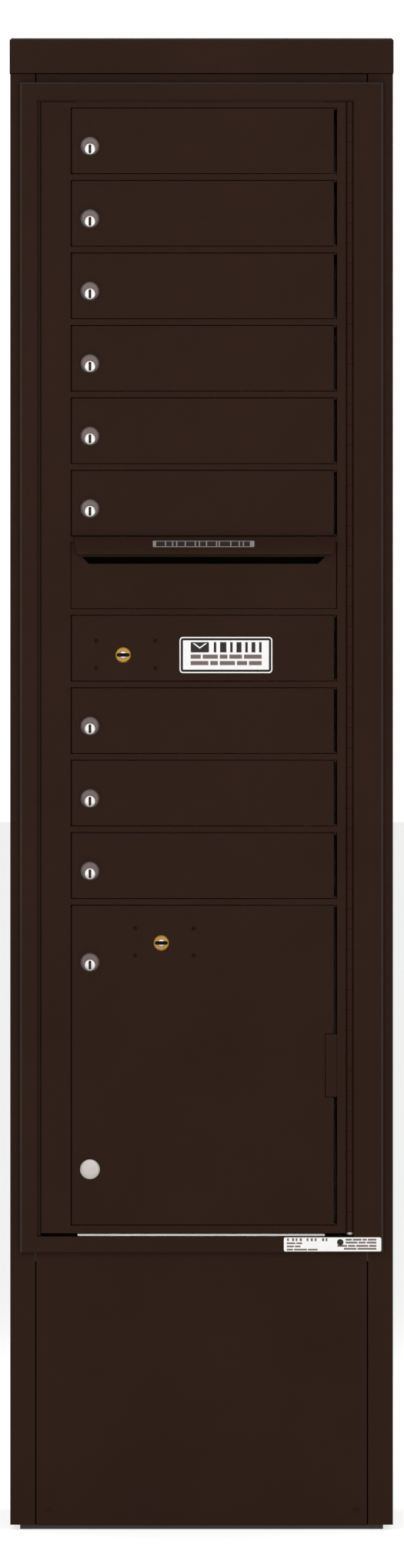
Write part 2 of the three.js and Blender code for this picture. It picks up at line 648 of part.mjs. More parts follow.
// The rain hood over the slot: a sloped front with ends that draw in towards the bottom.
function slotHood() {
  const [bottom, top] = HOOD_DROP;
  const [left, right] = HOOD_X;
  const lip = bottom + 5;
  const out = FACE - HOOD_REACH;
  const shell = [[FACE - GAP, bottom], [out, bottom], [out, lip], [FACE - 5, top], [FACE - GAP, top]];
  const hollow = [
    [FACE + 1, bottom - 1], [out + HOOD_WALL, bottom - 1], [out + HOOD_WALL, lip - 0.5],
    [FACE - 5.5, top - HOOD_WALL], [FACE + 1, top - HOOD_WALL],
  ];
  const draw = (points, inset) => {
    const halfWidth = (right - left) / 2 - inset;
    return prismX(points, [-halfWidth, halfWidth]).warp((vertex) => {
      vertex[0] -= Math.sign(vertex[0]) * HOOD_TAPER * (top - vertex[2]) / (top - bottom);
      vertex[0] += (left + right) / 2;
    });
  };
  return draw(shell, 0).subtract(draw(hollow, HOOD_WALL));
}

// The bent plate behind the slot that keeps hands out and leads letters down.
function slotBaffle() {
  const profile = [
    [FACE + 3, -3.7], [FACE + 8.4, -3.7], [FACE + 18.5, -50], [FACE + 20, -50], [FACE + 9.6, -2.2],
    [FACE + 3, -2.2],
  ];
  return prismX(profile, [-150, 150]);
}

// ---------------------------------------------------------------- parcel locker

function parcelDoor() {
  const pivots = [
    pivot(0, 1),
    pivot(-PARCEL_HEIGHT, -1),
    pivot(PARCEL_NOTCH[1], -1),
    pivot(PARCEL_NOTCH[0], 1),
  ];
  const notch = box([PARCEL_NOTCH_EDGE, DOOR_RIGHT + 1], [FACE - 1, DOOR_BACK + 1], PARCEL_NOTCH);
  const tray = doorTray(PARCEL_HEIGHT).subtract(notch);
  return cut(union([tray, ...pivots]), [
    lockHole(LOCK_X, PARCEL_LOCK_DROP),
    arrowHole(ARROW_X.parcel, ARROW_DROP.parcel),
    lockHole(LOCK_X, BLANK_DROP, 6.4),
  ]);
}

// The middle hinge block, standing in the parcel door's notch, with its plate behind the stile.
function parcelHingeBracket() {
  const height = grow(PARCEL_NOTCH, -0.7);
  const block = box([PARCEL_NOTCH_EDGE + 0.6, WINDOW_RIGHT - GAP], [FACE, MULLION_BACK + 2], height);
  const plate = box([PARCEL_NOTCH_EDGE + 0.6, 175.4], [MULLION_BACK + GAP, MULLION_BACK + 2.3], height);
  const bore = barZ(DOOR_AXIS_X, DOOR_AXIS_Y, DOOR_PIN_HOLE, grow(height, 1), 10);
  return union([block, plate]).subtract(bore);
}

function blankPlug() {
  const disc = barY(LOCK_X, -BLANK_DROP, BLANK_RADIUS, [FACE - 1.6, FACE - GAP], 20);
  const shank = barY(LOCK_X, -BLANK_DROP, 6, [FACE - 1, FACE + 7], 12);
  const nut = barY(LOCK_X, -BLANK_DROP, 10, [FACE + DOOR_SHEET + GAP, FACE + 5.5], 6);
  return union([disc, shank, nut]);
}

// ---------------------------------------------------------------- assembly

function cabinetGroup() {
  const cabinet = new THREE.Group();
  const leafBack = FACE + 30;
  cabinet.add(
    mesh('base_plinth', basePlinth(), plinthCoat),
    mesh('left_side_panel', sidePanel(-1), bronzeCoat),
    mesh('right_side_panel', sidePanel(1), bronzeCoat),
    mesh('rear_panel', rearPanel(), bronzeCoat),
    mesh('top_cap', topCap(), bronzeCoat),
    mesh('upper_front_filler', frontPan([TRIM_TOP + 0.4, BODY_TOP - 0.3], 12), bronzeCoat),
    mesh('lower_front_panel', lowerFrontPanel(), bronzeCoat),
    mesh('module_trim_frame', trimFrame(), bronzeCoat),
    mesh('module_housing_liner', housingLiner(), millAluminium),
    mesh('module_housing_flange', housingFlange(), millAluminium),
    mesh('module_shelves_upper', shelfRack([...UPPER_TENANT_ROWS.slice(1), SLOT_ROW]), millAluminium),
    mesh('module_shelves_lower', shelfRack([...LOWER_TENANT_ROWS, PARCEL_ROW]), millAluminium),
    mesh('module_support_shelf', supportShelf(), zincSteel),
    mesh('latch_keeper', latchKeeper(), zincSteel),
    mesh('master_hinge_frame_leaf', frameLeaf(TRIM_RIGHT_EDGE - GAP - LEAF_SHEET, leafBack), bronzeCoat),
  );
  return cabinet;
}

function masterDoorGroup() {
  const door = new THREE.Group();
  const leafBack = FACE + 19;
  door.add(
    mesh('master_door_frame', masterDoorFrame(), bronzeCoat),
    mesh('master_hinge_door_leaf', hingeLeaf(-1, MASTER_RIGHT + GAP, leafBack), bronzeCoat),
    mesh('latch_bar', latchBar(), zincSteel),
  );
  return door;
}

function slotGroup() {
  const group = new THREE.Group();
  group.position.z = rowTop(SLOT_ROW);
  group.add(
    mesh('mail_slot_panel', slotPanel(), bronzeCoat),
    mesh('mail_slot_hood', slotHood(), bronzeCoat),
    mesh('mail_slot_baffle', slotBaffle(), bronzeCoat),
  );
  return group;
}

// The three pieces of each tenant door, numbered from the top.
function tenantGroups() {
  const door = tenantDoor();
  const lockBody = camLockBody();
  const plug = camLockPlug();
  return [...UPPER_TENANT_ROWS, ...LOWER_TENANT_ROWS].map((row, index) => {
    const group = new THREE.Group();
    const number = index + 1;
    group.position.z = rowTop(row);
    group.add(
      mesh(`tenant_door_${number}`, door, bronzeCoat),
      mesh(`tenant_lock_${number}`, lockBody, lockMetal),
      mesh(`tenant_lock_plug_${number}`, plug, plugChrome),
    );
    return group;
  });
}

// A postal lock fitted to a door, as its three pieces.
function arrowLock(name) {
  const place = [ARROW_X[name], ARROW_DROP[name]];
  return [
    mesh(`${name}_arrow_lock_case`, arrowCase(...place), brass),
    mesh(`${name}_arrow_lock_plug`, arrowPlug(...place), plugChrome),
    mesh(`${name}_arrow_lock_bolt`, arrowBolt(...place), zincSteel),
  ];
}

function outgoingGroup() {
  const group = new THREE.Group();
  group.position.z = rowTop(OUTGOING_ROW);
  group.add(mesh('outgoing_mail_door', outgoingDoor(), bronzeCoat), ...arrowLock('outgoing'));
  return group;
}

function parcelGroup() {
  const group = new THREE.Group();
  const lockShift = [0, 0, LOCK_DROP - PARCEL_LOCK_DROP];
  group.position.z = rowTop(PARCEL_ROW);
  group.add(
    mesh('parcel_door', parcelDoor(), bronzeCoat),
    mesh('parcel_hinge_bracket', parcelHingeBracket(), bronzeCoat),
    mesh('parcel_lock', camLockBody(), lockMetal, lockShift),
    mesh('parcel_lock_plug', camLockPlug(), plugChrome, lockShift),
    mesh('parcel_blank_plug', blankPlug(), blankMetal),
    ...arrowLock('parcel'),
  );
  return group;
}

const group = new THREE.Group();
group.add(
  cabinetGroup(),
  masterDoorGroup(),
  slotGroup(),
  ...tenantGroups(),
  outgoingGroup(),
  parcelGroup(),
);

export default group;
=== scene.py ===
"""The looks of a free-standing cluster mailbox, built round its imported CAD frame.

Blender 4.5, metres, in the frame's own axes: +Z is up, the doors face -Y, and +X is to the right of a
person who faces them. Shapes are given in millimetres and scaled by MM.
"""

import json
import math

import bmesh
import bpy
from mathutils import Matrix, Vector


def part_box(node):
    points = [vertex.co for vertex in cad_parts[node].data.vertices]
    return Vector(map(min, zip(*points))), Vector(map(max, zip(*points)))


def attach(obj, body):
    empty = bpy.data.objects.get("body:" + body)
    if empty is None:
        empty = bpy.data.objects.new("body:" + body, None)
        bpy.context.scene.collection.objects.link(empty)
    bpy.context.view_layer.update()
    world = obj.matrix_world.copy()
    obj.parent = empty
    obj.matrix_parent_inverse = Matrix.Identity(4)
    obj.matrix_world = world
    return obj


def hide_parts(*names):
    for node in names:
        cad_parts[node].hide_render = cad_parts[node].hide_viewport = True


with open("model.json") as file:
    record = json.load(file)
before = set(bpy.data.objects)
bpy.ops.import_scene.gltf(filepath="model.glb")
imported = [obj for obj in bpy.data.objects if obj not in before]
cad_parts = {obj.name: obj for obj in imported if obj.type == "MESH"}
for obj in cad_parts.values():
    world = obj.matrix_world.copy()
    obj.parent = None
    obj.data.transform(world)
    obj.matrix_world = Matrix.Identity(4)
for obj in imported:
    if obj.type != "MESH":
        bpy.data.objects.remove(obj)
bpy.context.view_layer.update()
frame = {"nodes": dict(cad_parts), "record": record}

MM = 0.001
NODES = frame["nodes"]
BODY_OF = {n: body for body, nodes in frame["record"]["behaviour"]["bodies"].items() for n in nodes}
SLOT_OF = {part["node"]: part["material_slot"] for part in frame["record"]["subparts"]}
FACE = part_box("module_trim_frame")[0].y  # the plane of the trim and of the door faces
TENANTS = range(1, 10)

# ---------------------------------------------------------------- materials


class Surface:
    """A procedural material on one Principled shader. Textures use object coordinates, in metres."""

    def __init__(self, name, roughness, metallic=0.0, specular=0.5):
        self.material = bpy.data.materials.new(name)
        self.material.use_nodes = True
        self.tree = self.material.node_tree
        self.shader = self.tree.nodes["Principled BSDF"]
        self.shader.inputs["Metallic"].default_value = metallic
        self.shader.inputs["Roughness"].default_value = roughness
        self.shader.inputs["Specular IOR Level"].default_value = specular
        self.place = self.tree.nodes.new("ShaderNodeTexCoord").outputs["Object"]

    def node(self, kind, **settings):
        """Adds a node and sets its properties."""
        made = self.tree.nodes.new(kind)
        for key, value in settings.items():
            setattr(made, key, value)
        return made

    def put(self, socket, value):
        """Links an output to a socket, or sets the socket to a plain value."""
        if isinstance(value, bpy.types.NodeSocket):
            self.tree.links.new(value, socket)
        else:
            socket.default_value = value

    def stretched(self, stretch):
        """Object coordinates, scaled along each axis."""
        mapping = self.node("ShaderNodeMapping")
        mapping.inputs["Scale"].default_value = stretch
        self.put(mapping.inputs["Vector"], self.place)
        return mapping.outputs["Vector"]

    def noise(self, scale, detail=2.0, roughness=0.5, stretch=None):
        made = self.node("ShaderNodeTexNoise")
        made.inputs["Scale"].default_value = scale
        made.inputs["Detail"].default_value = detail
        made.inputs["Roughness"].default_value = roughness
        self.put(made.inputs["Vector"], self.stretched(stretch) if stretch else self.place)
        return made.outputs["Fac"]

    def cells(self, scale):
        made = self.node("ShaderNodeTexVoronoi")
        made.inputs["Scale"].default_value = scale
        self.put(made.inputs["Vector"], self.place)
        return made.outputs["Color"]

    def spread(self, value, low, high, to_low=0.0, to_high=1.0):
        """value from low to high becomes to_low to to_high, and stays within them."""
        made = self.node("ShaderNodeMapRange")
        self.put(made.inputs["Value"], value)
        made.inputs["From Min"].default_value = low
        made.inputs["From Max"].default_value = high
        made.inputs["To Min"].default_value = to_low
        made.inputs["To Max"].default_value = to_high
        return made.outputs["Result"]

    def math(self, operation, a, b=0.0):
        made = self.node("ShaderNodeMath", operation=operation)
        self.put(made.inputs[0], a)
        self.put(made.inputs[1], b)
        return made.outputs["Value"]

    def blend(self, share, a, b):
        """Colour a where share is 0 and colour b where it is 1."""
        made = self.node("ShaderNodeMix", data_type="RGBA")
        self.put(made.inputs["Factor"], share)
        self.put(made.inputs[6], a)
        self.put(made.inputs[7], b)
        return made.outputs[2]

    def bump(self, height, distance, strength=1.0, under=None):
        made = self.node("ShaderNodeBump")
        made.inputs["Strength"].default_value = strength
        made.inputs["Distance"].default_value = distance
        self.put(made.inputs["Height"], height)
        if under is not None:
            self.put(made.inputs["Normal"], under)
        return made.outputs["Normal"]

    def edges(self, radius):
        """1 on edges sharper than the radius, falling to 0 on flat ground."""
        rounded = self.node("ShaderNodeBevel", samples=4)
        rounded.inputs["Radius"].default_value = radius
        true_normal = self.node("ShaderNodeNewGeometry").outputs["Normal"]
        dot = self.node("ShaderNodeVectorMath", operation="DOT_PRODUCT")
        self.put(dot.inputs[0], rounded.outputs["Normal"])
        self.put(dot.inputs[1], true_normal)
        return self.spread(dot.outputs["Value"], 0.995, 0.8)

    def upward(self):
        """1 on faces that look up, 0 on walls."""
        parts = self.node("ShaderNodeSeparateXYZ")
        self.put(parts.inputs[0], self.node("ShaderNodeNewGeometry").outputs["Normal"])
        return self.spread(parts.outputs["Z"], 0.5, 0.95)

    def finish(self, colour=None, roughness=None, normal=None):
        for socket, value in (("Base Color", colour), ("Roughness", roughness), ("Normal", normal)):
            if value is not None:
                self.put(self.shader.inputs[socket], value)
        return self.material


def shade(colour, factor):
    """A lighter or darker colour, with full alpha."""
    return tuple(min(1.0, c * factor) for c in colour) + (1.0,)


def powder_coat(name, colour, roughness):
    """Baked powder: orange peel about a millimetre across, a fine grain, lighter edges in patches that are
    partly thin powder and partly a painted highlight, and a little dust.
    """
    s = Surface(name, roughness, specular=0.06)
    mottle = s.spread(s.noise(7.0, 3.0), 0.35, 0.65)
    grain = s.noise(2600.0, 2.0)
    tone = s.blend(mottle, shade(colour, 0.94), shade(colour, 1.06))
    tone = s.blend(s.spread(grain, 0.35, 0.7, 0.0, 0.35), tone, shade(colour, 1.35))
    # Patchy lightening along sharp edges: partly worn thin powder, partly a painted highlight.
    edge_wear_and_highlight = s.math("MULTIPLY", s.edges(1.2 * MM), s.spread(s.noise(45.0, 4.0), 0.4, 0.62))
    tone = s.blend(s.math("MULTIPLY", edge_wear_and_highlight, 0.3), tone, shade(colour, 2.2))
    dust = s.math("MULTIPLY", s.upward(), s.spread(s.noise(30.0, 5.0, 0.65), 0.35, 0.75, 0.02, 0.16))
    tone = s.blend(dust, tone, (0.2, 0.18, 0.16, 1.0))
    rough = s.spread(s.noise(160.0, 3.0), 0.3, 0.7, roughness - 0.06, roughness + 0.06)
    peel = s.bump(s.noise(620.0, 1.5), 0.06 * MM, 0.8)
    return s.finish(tone, rough, s.bump(grain, 0.012 * MM, 0.8, peel))


def mill_aluminium():
    """Bare rolled sheet: fine lines along the rolling direction and faint cloudy oxide."""
    s = Surface("mill_aluminium", 0.42, metallic=1.0)
    lines = s.noise(900.0, 3.0, 0.6, (1.0, 0.02, 1.0))
    cloud = s.noise(14.0, 5.0, 0.6)
    tone = s.blend(s.spread(cloud, 0.35, 0.7), (0.52, 0.51, 0.5, 1.0), (0.66, 0.65, 0.64, 1.0))
    tone = s.blend(s.spread(lines, 0.4, 0.75, 0.0, 0.35), tone, (0.4, 0.39, 0.38, 1.0))
    rough = s.spread(lines, 0.3, 0.7, 0.36, 0.52)
    return s.finish(tone, rough, s.bump(lines, 0.01 * MM, 0.6))


def zinc_plated_steel():
    """Satin zinc plate: small faint crystals with a slight warm and cool drift."""
    s = Surface("zinc_plated_steel", 0.38, metallic=1.0)
    cells = s.cells(260.0)
    drift = s.spread(s.noise(22.0, 3.0), 0.35, 0.65)
    tone = s.blend(drift, (0.34, 0.335, 0.34, 1.0), (0.38, 0.36, 0.33, 1.0))
    tone = s.blend(0.12, tone, cells)
    rough = s.spread(s.noise(240.0, 3.0), 0.3, 0.7, 0.3, 0.46)
    return s.finish(tone, rough, s.bump(s.noise(900.0, 2.0), 0.008 * MM))


def turned_metal(name, colour, roughness, tarnish, rings=2200.0):
    """Machined or cast metal: fine turning lines, light scratches and tarnish in patches."""
    s = Surface(name, roughness, metallic=1.0)
    patches = s.spread(s.noise(420.0, 4.0, 0.6), 0.42, 0.68)
    tone = s.blend(s.math("MULTIPLY", patches, 0.5), shade(colour, 1.0), shade(tarnish, 1.0))
    scratches = s.noise(rings, 2.0, 0.6, (1.0, 1.0, 0.12))
    tone = s.blend(s.spread(scratches, 0.5, 0.8, 0.0, 0.3), tone, shade(colour, 0.6))
    edge = s.edges(0.35 * MM)
    tone = s.blend(s.math("MULTIPLY", edge, 0.5), tone, shade(colour, 1.5))
    rough = s.spread(s.noise(700.0, 3.0), 0.3, 0.7, roughness - 0.06, roughness + 0.08)
    return s.finish(tone, rough, s.bump(scratches, 0.006 * MM, 0.8))


def printed_film(name, colour, roughness, age):
    """Vinyl label stock or its ink, with a slight ripple and a little grime."""
    s = Surface(name, roughness, specular=0.35)
    grime = s.spread(s.noise(120.0, 5.0, 0.65), 0.45, 0.8, 0.0, age)
    tone = s.blend(grime, shade(colour, 1.0), shade(colour, 0.7))
    rough = s.spread(s.noise(300.0, 2.0), 0.3, 0.7, roughness - 0.05, roughness + 0.1)
    return s.finish(tone, rough, s.bump(s.noise(90.0, 2.0), 0.03 * MM, 0.5))


COAT_COLOUR = (0.0238, 0.0100, 0.0054)
MATERIALS = {
    "bronze_powder_coat": powder_coat("bronze_powder_coat", COAT_COLOUR, 0.56),
    # A lighter copy of the coat for front chamfers and thin strips: a painted highlight.
    "coat_painted_highlight": powder_coat("coat_painted_highlight", (0.042, 0.030, 0.025), 0.5),
    "coat_over_weld": powder_coat("coat_over_weld", (0.0110, 0.0050, 0.0030), 0.7),
    "coat_in_shade": powder_coat("coat_in_shade", (0.0012, 0.0009, 0.0008), 0.9),
    "plinth_coat": powder_coat("plinth_coat", (0.060, 0.051, 0.047), 0.68),
    "mill_aluminium": mill_aluminium(),
    "zinc_plated_steel": zinc_plated_steel(),
    "lock_body_metal": turned_metal("lock_body_metal", (0.125, 0.096, 0.09), 0.36, (0.085, 0.065, 0.06)),
    "lock_plug_chrome": turned_metal("lock_plug_chrome", (0.5, 0.475, 0.465), 0.22, (0.4, 0.38, 0.37)),
    "lock_brass": turned_metal("lock_brass", (0.34, 0.19, 0.045), 0.34, (0.22, 0.115, 0.026)),
    "blank_plug_metal": turned_metal("blank_plug_metal", (0.46, 0.425, 0.41), 0.4, (0.39, 0.355, 0.34)),
    # Painted shadow for keyways, lock slots and the ring under each bezel, made with the film shader.
    "lock_shadow": printed_film("lock_shadow", (0.032, 0.028, 0.027), 0.85, 0.3),
    "label_white": printed_film("label_white", (0.93, 0.92, 0.91), 0.4, 0.2),
    "label_grey": printed_film("label_grey", (0.3, 0.255, 0.25), 0.45, 0.3),
    "print_dark": printed_film("print_dark", (0.016, 0.011, 0.011), 0.6, 0.3),
    "print_brown": printed_film("print_brown", (0.17, 0.12, 0.115), 0.5, 0.3),
}

# ---------------------------------------------------------------- mesh tools


def closed_mesh(name, bm, crease=35.0):
    """Turns a bmesh into a mesh whose faces point out, smooth but for edges sharper than crease."""
    bmesh.ops.recalc_face_normals(bm, faces=bm.faces)
    mesh = bpy.data.meshes.new(name)
    bm.to_mesh(mesh)
    bm.free()
    mesh.polygons.foreach_set("use_smooth", [True] * len(mesh.polygons))
    mesh.set_sharp_from_angle(angle=math.radians(crease))
    return mesh


def lathe(bm, profile, segments=64, centre=(0.0, 0.0), along="Y"):
    """Adds a solid turned about an axis. The profile holds (radius, height) points from axis to axis."""
    rings = []
    for radius, height in profile:
        steps = segments if radius > 0 else 1
        ring = []
        for n in range(steps):
            angle = 2 * math.pi * n / segments
            u = centre[0] + radius * math.cos(angle)
            v = centre[1] + radius * math.sin(angle)
            place = (u, height, v) if along == "Y" else (u, v, height)
            ring.append(bm.verts.new(Vector(place) * MM))
        rings.append(ring)
    for a, b in zip(rings, rings[1:]):
        for n in range(segments):
            m = (n + 1) % segments
            corners = [a[n % len(a)], a[m % len(a)], b[m % len(b)], b[n % len(b)]]
            distinct = list(dict.fromkeys(corners))
            if len(distinct) > 2:
                bm.faces.new(distinct)


def prism(bm, loops, low, high, along="Y"):
    """Adds a flat outline with any holes, drawn out from low to high along an axis."""
    edges = []
    for loop in loops:
        places = [(u, low, v) if along == "Y" else (u, v, low) for u, v in loop]
        verts = [bm.verts.new(Vector(p) * MM) for p in places]
        edges += [bm.edges.new(pair) for pair in zip(verts, verts[1:] + verts[:1])]
    filled = bmesh.ops.triangle_fill(bm, edges=edges, use_beauty=True)["geom"]
    faces = [g for g in filled if isinstance(g, bmesh.types.BMFace)]
    drawn = bmesh.ops.extrude_face_region(bm, geom=faces)["geom"]
    moved = [g for g in drawn if isinstance(g, bmesh.types.BMVert)]
    way = Vector((0, 1, 0)) if along == "Y" else Vector((0, 0, 1))
    bmesh.ops.translate(bm, verts=moved, vec=way * (high - low) * MM)


def block(bm, x, y, z):
    """Adds a box given by its spans."""
    made = bmesh.ops.create_cube(bm, size=1.0)["verts"]
    sizes = Vector((x[1] - x[0], y[1] - y[0], z[1] - z[0])) * MM
    middle = Vector((x[0] + x[1], y[0] + y[1], z[0] + z[1])) * MM / 2
    bmesh.ops.scale(bm, verts=made, vec=sizes)
    bmesh.ops.translate(bm, verts=made, vec=middle)


def circle(radius, steps=48, centre=(0.0, 0.0)):
    """The outline of a circle, or of a hexagon when steps is 6."""
    turn = 2 * math.pi / steps
    return [
        (centre[0] + radius * math.cos(n * turn), centre[1] + radius * math.sin(n * turn))
        for n in range(steps)
    ]


def rounded(width, height, radius, centre=(0.0, 0.0), steps=5):
    """The outline of a rectangle with round corners."""
    points = []
    corners = ((1, 1, 0), (-1, 1, 90), (-1, -1, 180), (1, -1, 270))
    for sx, sy, start in corners:
        x = centre[0] + sx * (width / 2 - radius)
        y = centre[1] + sy * (height / 2 - radius)
        for n in range(steps + 1):
            angle = math.radians(start + 90 * n / steps)
            points.append((x + radius * math.cos(angle), y + radius * math.sin(angle)))
    return points


def show(name, mesh, material, place=(0, 0, 0), bevel=0.0, angle=40.0):
    """Puts a mesh in the scene, with rounded edges if asked. material is for a mesh that has none yet."""
    obj = bpy.data.objects.new(name, mesh)
    obj.location = place
    bpy.context.scene.collection.objects.link(obj)
    if not mesh.materials:
        mesh.materials.append(MATERIALS[material])
    if bevel:
        edge = obj.modifiers.new("rounded_edges", "BEVEL")
        edge.width = bevel * MM
        edge.segments = 2
        edge.limit_method = "ANGLE"
        edge.angle_limit = math.radians(angle)
        edge.harden_normals = True
    return obj


def repaint(obj, material, chosen):
    """Gives the chosen faces of a piece another material."""
    obj.data.materials.append(MATERIALS[material])
    for face in obj.data.polygons:
        if chosen(face):
            face.material_index = len(obj.data.materials) - 1


def carve(mesh, cutter, crease=35.0, operation="DIFFERENCE", lining=None):
    """Cuts one closed mesh out of another, or joins them. lining is the material of the cut's walls."""
    body = show("carve_body", mesh, "zinc_plated_steel")
    tool = show("carve_tool", cutter, lining or "zinc_plated_steel")
    modifier = body.modifiers.new("cut", "BOOLEAN")
    modifier.solver = "EXACT"
    modifier.operation = operation
    modifier.material_mode = "TRANSFER" if lining else "INDEX"
    modifier.object = tool
    graph = bpy.context.evaluated_depsgraph_get()
    result = bpy.data.meshes.new_from_object(body.evaluated_get(graph))
    if not lining:
        result.materials.clear()
    result.polygons.foreach_set("use_smooth", [True] * len(result.polygons))
    result.set_sharp_from_angle(angle=math.radians(crease))
    bpy.data.objects.remove(body)
    bpy.data.objects.remove(tool)
    return result


def stand_for(obj, node):
    """Gives a piece the body of the CAD node that it stands for, and hides that node."""
    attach(obj, BODY_OF[node])
    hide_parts(node)


def refined(node, bevel):
    """A CAD node with merged faces and rounded edges."""
    one_point = 1e-6
    flat = math.radians(1.0)
    source = NODES[node].data
    bm = bmesh.new()
    corners = [bm.verts.new(v.co) for v in source.vertices]
    for polygon in source.polygons:
        bm.faces.new([corners[i] for i in polygon.vertices])
    bmesh.ops.remove_doubles(bm, verts=bm.verts, dist=one_point)
    bmesh.ops.dissolve_limit(bm, angle_limit=flat, verts=bm.verts, edges=bm.edges)
    bmesh.ops.triangulate(bm, faces=[face for face in bm.faces if len(face.verts) > 4])
    name = node + "_shell"
    obj = show(name, closed_mesh(name, bm), SLOT_OF[node], bevel=bevel)
    stand_for(obj, node)
    return obj


# ---------------------------------------------------------------- camera, light and floor


def camera():
    """Straight on to the doors, far enough off that the sides of the cabinet don't show."""
    middle = (0.0005, 0.9186)
    view_height = 1.931
    lens = 300.0
    film = 36.0
    data = bpy.data.cameras.new("camera")
    data.lens = lens
    data.sensor_width = film
    data.clip_end = 1000.0
    obj = bpy.data.objects.new("camera", data)
    obj.location = (middle[0], FACE - view_height * lens / film, middle[1])
    obj.rotation_euler = (math.radians(90), 0, 0)
    bpy.context.scene.collection.objects.link(obj)
    bpy.context.scene.camera = obj


def softbox(name, place, size, power):
    """A square area light that looks at the middle of the cabinet and isn't seen itself."""
    middle = Vector((0, 0, 0.95))
    data = bpy.data.lights.new(name, "AREA")
    data.shape = "SQUARE"
    data.size = size
    data.energy = power
    obj = bpy.data.objects.new(name, data)
    obj.location = place
    obj.rotation_euler = (middle - Vector(place)).to_track_quat("-Z", "Y").to_euler()
    obj.visible_camera = False
    bpy.context.scene.collection.objects.link(obj)


def studio():
    """White all round to the eye, with a dimmer even light and six soft boxes."""
    world = bpy.data.worlds.new("studio")
    world.use_nodes = True
    tree = world.node_tree
    tree.nodes.clear()
    seen = tree.nodes.new("ShaderNodeBackground")
    seen.inputs["Strength"].default_value = 1.05
    lighting = tree.nodes.new("ShaderNodeBackground")
    lighting.inputs["Strength"].default_value = 0.18
    path = tree.nodes.new("ShaderNodeLightPath")
    mix = tree.nodes.new("ShaderNodeMixShader")
    out = tree.nodes.new("ShaderNodeOutputWorld")
    for background in (seen, lighting):
        background.inputs["Color"].default_value = (1, 1, 1, 1)
    tree.links.new(path.outputs["Is Camera Ray"], mix.inputs["Fac"])
    tree.links.new(lighting.outputs[0], mix.inputs[1])
    tree.links.new(seen.outputs[0], mix.inputs[2])
    tree.links.new(mix.outputs[0], out.inputs["Surface"])
    bpy.context.scene.world = world
    bpy.context.scene.view_settings.view_transform = "Standard"
    softbox("key_left", (-3.2, -3.4, 2.4), 2.4, 16)
    softbox("fill_right", (3.3, -3.2, 1.8), 2.4, 14)
    softbox("top", (0.0, -0.6, 4.6), 2.6, 12)
    softbox("back_left", (-2.6, 3.6, 3.0), 2.4, 30)
    softbox("back_right", (3.0, 3.2, 2.8), 2.4, 26)
    softbox("behind_camera", (0.0, -9.0, 3.6), 7.0, 300)


def floor():
    """A wide pale floor that glows a little, a hair below the plinth."""
    half = 300.0
    bm = bmesh.new()
    bmesh.ops.create_grid(bm, x_segments=1, y_segments=1, size=half)
    mesh = bpy.data.meshes.new("floor")
    bm.to_mesh(mesh)
    bm.free()
    material = bpy.data.materials.new("floor")
    material.use_nodes = True
    shader = material.node_tree.nodes["Principled BSDF"]
    shader.inputs["Base Color"].default_value = (0.8, 0.8, 0.8, 1)
    shader.inputs["Roughness"].default_value = 0.9
    shader.inputs["Specular IOR Level"].default_value = 0.1
    shader.inputs["Emission Color"].default_value = (1, 1, 1, 1)
    shader.inputs["Emission Strength"].default_value = 0.72
    mesh.materials.append(material)
    obj = bpy.data.objects.new("floor", mesh)
    obj.location.z = -0.4 * MM
    bpy.context.scene.collection.objects.link(obj)


# ---------------------------------------------------------------- cabinet and module

SCREW_SUNK = 0.15  # how far a screw's seat lies inside the sheet
SEAM_SPAN = (202.0, 206.0)  # from the middle to either open seam beside the front panels


def screw():
    """A low button head with a hexagonal socket, its seat at the origin and its head towards -Y."""
    bm = bmesh.new()
    profile = [
        (0, 0.6), (2.1, 0.6), (3.9, 0.6), (4.0, 0.2), (3.8, -0.5), (3.1, -1.1), (2.0, -1.5), (0, -1.6),
    ]
    lathe(bm, profile, 32)
    head = closed_mesh("screw_head", bm)
    bm = bmesh.new()
    prism(bm, [circle(1.35, 6)], -2.4, -0.6)
    return carve(head, closed_mesh("socket", bm))


def beside_seam(face):
    """Whether a face is a wall of the open seams between the flanges and the front panels."""
    near, far = SEAM_SPAN
    return abs(face.normal.x) > 0.9 and near * MM < abs(face.center.x) < far * MM


def slanted(face):
    """Whether a face is a chamfer on a front edge."""
    return -0.9 < face.normal.y < -0.4


def cabinet_shells():
    """The folded and welded sheets, with painted shade in the narrow gaps and on the mail slot's baffle,
    and a painted highlight on the front chamfers.
    """
    for node, bevel in (
        ("base_plinth", 0.5),
        ("rear_panel", 0.5),
        ("module_housing_liner", 0.4),
        ("module_shelves_upper", 0.3),
        ("module_shelves_lower", 0.3),
        ("module_support_shelf", 0.5),
        ("latch_keeper", 0.3),
        ("latch_bar", 0.3),
        ("master_door_frame", 0.4),
        ("mail_slot_panel", 0.5),
        ("mail_slot_hood", 0.5),
        ("parcel_hinge_bracket", 0.4),
    ):
        refined(node, bevel)
    for node in ("left_side_panel", "right_side_panel", "upper_front_filler", "lower_front_panel"):
        repaint(refined(node, 0.3), "coat_in_shade", beside_seam)
    # The cap's and trim's front chamfers take the lighter coat: a painted highlight.
    repaint(refined("top_cap", 0.3), "coat_painted_highlight", slanted)
    repaint(refined("module_trim_frame", 0.2), "coat_painted_highlight", slanted)
    repaint(refined("mail_slot_baffle", 0.3), "coat_in_shade", lambda face: True)
    flange_back = FACE + 34 * MM
    flange = refined("module_housing_flange", 0.3)
    repaint(flange, "bronze_powder_coat", lambda face: face.center.y > flange_back)


def module_strips():
    """The trim's inner lips along the latch side and the top, and the housing's edge in the top gap, which
    takes the lighter coat as a painted highlight.
    """
    y = FACE / MM
    for name, material, x, depth, z in (
        ("trim_side_lip", "bronze_powder_coat", (-203.3, -198.6), (3.6, 4.8), (361.8, 1758.8)),
        ("trim_top_lip", "bronze_powder_coat", (-203.3, 187.5), (1.8, 3.0), (1759.3, 1761.3)),
        # A thin strip in the lighter coat: a painted highlight in the top gap.
        ("module_top_edge", "coat_painted_highlight", (-155, 150), (2.2, 34.6), (1758.8, 1759.3)),
    ):
        bm = bmesh.new()
        block(bm, x, (y + depth[0], y + depth[1]), z)
        obj = show(name, closed_mesh(name, bm), material)
        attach(obj, "cabinet")


